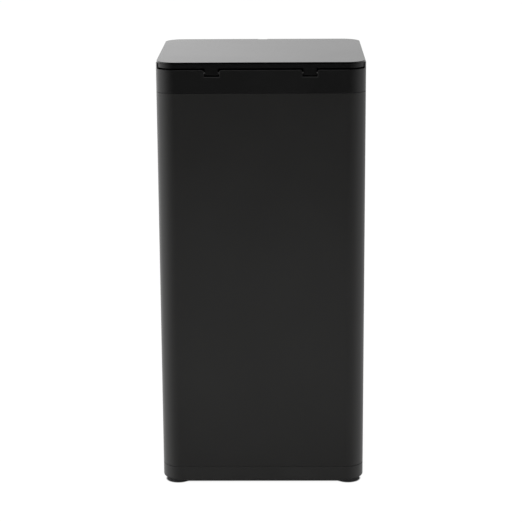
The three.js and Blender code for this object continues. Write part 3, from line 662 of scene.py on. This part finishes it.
def inner_bucket():
    """A deep tub with a rolled rim that hangs on the collar's ledge, and a finger slot at each side."""
    floor, rim_top = low("inner_bucket").z, high("inner_bucket").z
    rim_inset, inset, wall, thickness, rim_low = 4.5, 12.5, 2, 2.5, rim_top - BUCKET_RIM
    draft_x, draft_y = 0.055, 0.06  # how much narrower the floor is than the mouth
    slot_half, slot_round, slot_z = 36, 8, 649

    def draft(x, y, z):
        drop = (rim_low - z) / (rim_low - floor)
        return (x * (1 - draft_x * drop), y * (1 - draft_y * drop), z) if drop > 0 else (x, y, z)

    outline = filleted([
        (MIDDLE, floor, 0), (inset, floor, 6), (inset, rim_low, 1), (rim_inset, rim_low, 0.5),
        (rim_inset, rim_top, 1.2), (inset + wall, rim_top, 1.2), (inset + wall, floor + thickness, 4.5),
        (MIDDLE, floor + thickness, 0)])
    tub = swept("bucket_tub", outline, closed=False, bend=draft)
    arc = angles(12, math.pi / 2, -math.pi / 2)
    slot = [(slot_half + slot_round * math.cos(a), slot_z + slot_round * math.sin(a)) for a in arc]
    slot += [(-y, z) for y, z in reversed(slot)]
    shaped(tub, Tool().bar(-HALF_X, slot, HALF_X))
    soften(tub, 0.5)
    stand_for(tub, "inner_bucket")


def bag_ring():
    """A flat loop on the bucket's rim, with a lip down inside that holds the bag."""
    bottom, top = low("bag_ring").z, high("bag_ring").z
    flange, outer, inner, lip = top - 2.4, 6.5, 16.5, 1.5
    outline = filleted([
        (outer, flange, 0.6), (outer, top, 1.0), (inner, top, 1.2), (inner, bottom, 0.7),
        (inner - lip, bottom, 0.5), (inner - lip, flange, 0.8)])
    ring = swept("bag_ring_loop", outline)
    even_normals(ring)
    stand_for(ring, "bag_ring")


# ------------------------------------------------------------------ lid

def lid_top():
    """The thin gloss plate, with a finger notch in its front edge and screw bosses under it."""
    top, inset, plate_low = HEIGHT, HALF_X - high("lid_top").x, HEIGHT - 2.6
    boss_low, boss, boss_top = low("lid_top").z, 4, plate_low + 1
    notch_half, notch_depth = 7.75, 4
    outline = filleted([(MIDDLE, top, 0), (inset, top, 0.25), (inset, plate_low, 0.4), (MIDDLE, plate_low, 0)])
    plate = swept("lid_plate", outline, closed=False)
    bosses, holes = Tool(), Tool()
    holes.block(-notch_half, notch_half, -HALF_Y, inset + notch_depth - HALF_Y, plate_low - 1, top + 1)
    for i in range(1, 5):
        x, y, _ = middle(f"lid_screw_{i}")
        bosses.rod(Z_AXIS, boss, (x, y, (boss_low + boss_top) / 2), boss_top - boss_low)
        holes.rod(Z_AXIS, PILOT_HOLE, (x, y, (boss_low + top) / 2 - 1), top - boss_low, 24)
    shaped(plate, bosses, "UNION")
    shaped(plate, holes)
    soften(plate, 0.15)
    stand_for(plate, "lid_top")


def edge_strip(name, node, corner, profile):
    """A narrow strip round the node's box; profile makes its [inset, height, radius] corners from z0 and z1."""
    box_low, box_high = low(node), high(node)
    bounds = (box_low.x, box_high.x, box_low.y, box_high.y)
    strip = swept(name, filleted(profile(box_low.z, box_high.z), 3), bounds=bounds, corner=corner)
    even_normals(strip)
    stand_for(strip, node)


def lid_seal():
    """A soft fin that leans upwards, with a bead at its root."""
    edge_strip("seal_fin", "lid_seal", 27, lambda z0, z1: [
        (0, z1 - 0.7, 0.3), (0, z1, 0.3), (1.7, z1 - 0.6, 0.2), (1.7, z0, 0.4), (0.9, z0, 0.4)])


def plate_wiper():
    """A thin lip round the plate, tapered to its edge."""
    edge_strip("wiper_lip", "plate_wiper", 24, lambda z0, z1: [
        (0, z0, 0.25), (0, z0 + 0.9, 0.3), (2.4, z1, 0.5), (3.7, z1, 0.3), (3.7, z0, 0.3)])


def brace_frame():
    """One cross bar, and two arms that end in hooks through the plate's lugs."""
    radius, slack, arm_x, elbow, into_bar = 2.5, 0.01, 105, 3.2, 0.4
    box_low, box_high = low("brace_frame"), high("brace_frame")
    z, head, foot_y = (box_low.z + box_high.z) / 2, box_low.y + radius + slack, box_high.y - radius - slack
    bar_end, hook_end = box_high.x - 0.5, 92
    bar = wire("brace_wire", [(-bar_end, head), (0, head), (bar_end, head)], radius - slack, z)
    arms = Tool()
    for side in (-1, 1):
        path = [(side * arm_x, head + into_bar)]
        path += [(side * (arm_x - elbow * (1 - math.cos(a))), foot_y - elbow * (1 - math.sin(a)))
                 for a in angles(10)]
        path.append((side * hook_end, foot_y))
        arm = wire("brace_arm", path, radius - slack, z)
        arms.mesh.from_mesh(arm.data)
        bpy.data.objects.remove(arm)
    shaped(bar, arms, "UNION")
    soften(bar, 0.25, 2)
    stand_for(bar, "brace_frame")


def carried_nodes():
    """Every CAD node that keeps its own shape gets rounded edges and its finish."""
    widths = {"lid_under": 0.5, "compaction_plate": 0.6, "filter_cap": 0.5, "stow_bolt": 0.5,
              "slide_rail_left": 0.6, "slide_rail_right": 0.6}
    for name, obj in frame["nodes"].items():
        if name in REPLACED:
            continue
        soften(obj, widths.get(name, 0.2))
        for material_slot in obj.material_slots:
            material_slot.material = MATERIALS[SLOTS[name]]


body_sleeve()
base_moulding()
top_collar()
for number in range(1, 5):
    foot(f"foot_{number}")
inner_bucket()
bag_ring()
lid_top()
lid_seal()
plate_wiper()
brace_frame()
carried_nodes()


# ------------------------------------------------------------------ camera, floor and light

def camera():
    """A long lens behind the bin, a little above its middle."""
    azimuth, elevation, roll = math.radians(180.61), math.radians(13.89), -0.0051
    distance, target = 2.941, Vector((-0.0071, 0, 0.3964))
    back = Vector((math.sin(azimuth) * math.cos(elevation), -math.cos(azimuth) * math.cos(elevation),
                   math.sin(elevation)))
    data = bpy.data.cameras.new("camera")
    data.lens = 119.15
    data.sensor_width = 36
    data.shift_x, data.shift_y = -0.01145, -0.0526
    data.clip_end = 60
    obj = bpy.data.objects.new("camera", data)
    obj.location = target + back * distance
    obj.rotation_mode = "QUATERNION"
    obj.rotation_quaternion = (-back).to_track_quat("-Z", "Y") @ Quaternion((0, 0, 1), roll)
    bpy.context.scene.collection.objects.link(obj)
    bpy.context.scene.camera = obj


def area_light(name, place, aim, width, height, power, glossy=True):
    data = bpy.data.lights.new(name, "AREA")
    data.shape = "RECTANGLE"
    data.size, data.size_y = width, height
    data.energy = power
    obj = bpy.data.objects.new(name, data)
    obj.location = place
    obj.rotation_mode = "QUATERNION"
    obj.rotation_quaternion = (Vector(aim) - Vector(place)).to_track_quat("-Z", "Y")
    obj.visible_camera = False
    obj.visible_glossy = glossy
    bpy.context.scene.collection.objects.link(obj)


def pale_floor():
    """White to the camera except for a painted contact shadow close under the bin and round each foot; a plain
    pale bounce to everything else.
    """
    mesh = bmesh.new()
    bmesh.ops.create_grid(mesh, x_segments=8, y_segments=8, size=12)
    floor = piece_from("floor", mesh)
    paint = Finish("floor_pale", (0.8, 0.8, 0.8), specular=0.0)
    material = paint.clouded(0.005, 0.85, 0.9, 2).grained(40).done(0.0)
    tree, link = paint.tree, paint.tree.links.new

    def vector(operation, source, operand=None):
        node = paint.node("ShaderNodeVectorMath")
        node.operation = operation
        link(source, node.inputs[0])
        if operand:
            node.inputs[1].default_value = operand
        return node.outputs["Value" if operation == "LENGTH" else "Vector"]

    rim = 12  # how far the painted contact shadow keeps in from the casing's sides, in millimetres
    quarter = vector("ABSOLUTE", paint.place)
    foot_centre = middle("foot_1") * MM
    foot_reach = (high("foot_1").x - low("foot_1").x) / 2 * MM
    from_foot = vector("LENGTH", vector("SUBTRACT", quarter, (abs(foot_centre.x), abs(foot_centre.y), 0)))
    scaled = paint.node("ShaderNodeSeparateXYZ")
    link(vector("DIVIDE", quarter, ((HALF_X - rim) * MM, (HALF_Y - rim) * MM, 1)), scaled.inputs[0])
    farther = paint.node("ShaderNodeMath")
    farther.operation = "MAXIMUM"
    link(scaled.outputs["X"], farther.inputs[0])
    link(scaled.outputs["Y"], farther.inputs[1])
    # The camera's white glow fades to nothing under the casing and round each foot: a painted contact shadow.
    outside_painted_shadow = paint.node("ShaderNodeMath")
    outside_painted_shadow.operation = "MULTIPLY"
    link(paint.ramp(farther.outputs[0], 0.985, 1.02, 0.0, 1.03), outside_painted_shadow.inputs[0])
    link(paint.ramp(from_foot, foot_reach + 0.001, foot_reach + 0.004, 0.0, 1.03), outside_painted_shadow.inputs[1])
    glow = paint.node("ShaderNodeEmission")
    link(outside_painted_shadow.outputs[0], glow.inputs["Strength"])
    shade = paint.node("ShaderNodeMixShader")
    shade.inputs[0].default_value = 0.08
    link(glow.outputs[0], shade.inputs[1])
    link(paint.shader.outputs[0], shade.inputs[2])
    both = paint.node("ShaderNodeMixShader")
    link(paint.node("ShaderNodeLightPath").outputs["Is Camera Ray"], both.inputs[0])
    link(paint.shader.outputs[0], both.inputs[1])
    link(shade.outputs[0], both.inputs[2])
    link(both.outputs[0], tree.nodes["Material Output"].inputs["Surface"])
    floor.data.materials.append(material)
    floor.visible_glossy = False


def studio_world():
    """White for the camera; for the rest a wide backdrop on the -Y side, stronger to +X, dark to +Y."""
    world = bpy.data.worlds.new("studio")
    bpy.context.scene.world = world
    world.use_nodes = True
    tree = world.node_tree
    tree.nodes.clear()
    link = tree.links.new

    def ramp(value, start, end, low_value, high_value, kind):
        node = tree.nodes.new("ShaderNodeMapRange")
        node.interpolation_type = kind
        for socket, number in (("From Min", start), ("From Max", end), ("To Min", low_value),
                               ("To Max", high_value)):
            node.inputs[socket].default_value = number
        link(value, node.inputs["Value"])
        return node.outputs["Result"]

    split = tree.nodes.new("ShaderNodeSeparateXYZ")
    link(tree.nodes.new("ShaderNodeTexCoord").outputs["Generated"], split.inputs[0])
    depth = ramp(split.outputs["Y"], 0.9, 0.12, 0.0, 1.1, "LINEAR")
    side = ramp(split.outputs["X"], -0.27, 0.27, 0.62, 1.3, "SMOOTHSTEP")
    even = ramp(split.outputs["Z"], -0.12, -0.4, 0.0, 0.75, "LINEAR")
    underside = ramp(split.outputs["Z"], -0.4, -0.65, 1.0, 0.15, "SMOOTHSTEP")
    overhead = ramp(split.outputs["Z"], -0.05, 0.12, 1.0, 0.82, "SMOOTHSTEP")
    balance = tree.nodes.new("ShaderNodeMix")
    link(even, balance.inputs["Factor"])
    link(side, balance.inputs["A"])
    balance.inputs["B"].default_value = 0.9

    def times(a, b):
        node = tree.nodes.new("ShaderNodeMath")
        node.operation = "MULTIPLY"
        link(a, node.inputs[0])
        link(b, node.inputs[1])
        return node.outputs[0]

    strength = times(times(depth, balance.outputs["Result"]), times(underside, overhead))
    lit = tree.nodes.new("ShaderNodeBackground")
    link(strength, lit.inputs["Strength"])
    seen = tree.nodes.new("ShaderNodeBackground")
    for background in (lit, seen):
        background.inputs["Color"].default_value = (1, 1, 1, 1)
    seen.inputs["Strength"].default_value = 1.05
    mix = tree.nodes.new("ShaderNodeMixShader")
    link(tree.nodes.new("ShaderNodeLightPath").outputs["Is Camera Ray"], mix.inputs[0])
    link(lit.outputs[0], mix.inputs[1])
    link(seen.outputs[0], mix.inputs[2])
    link(mix.outputs[0], tree.nodes.new("ShaderNodeOutputWorld").inputs["Surface"])


camera()
pale_floor()
studio_world()
area_light("key", (0.3, 2.6, 2.8), (0, 0, 0.4), 3.0, 2.0, 42, glossy=False)
area_light("low_fill", (0, 0.85, 0.1), (0, 0, 0.1), 1.6, 0.2, 5.3, glossy=False)

scene = bpy.context.scene
scene.view_settings.view_transform = "Standard"
scene.view_settings.look = "None"
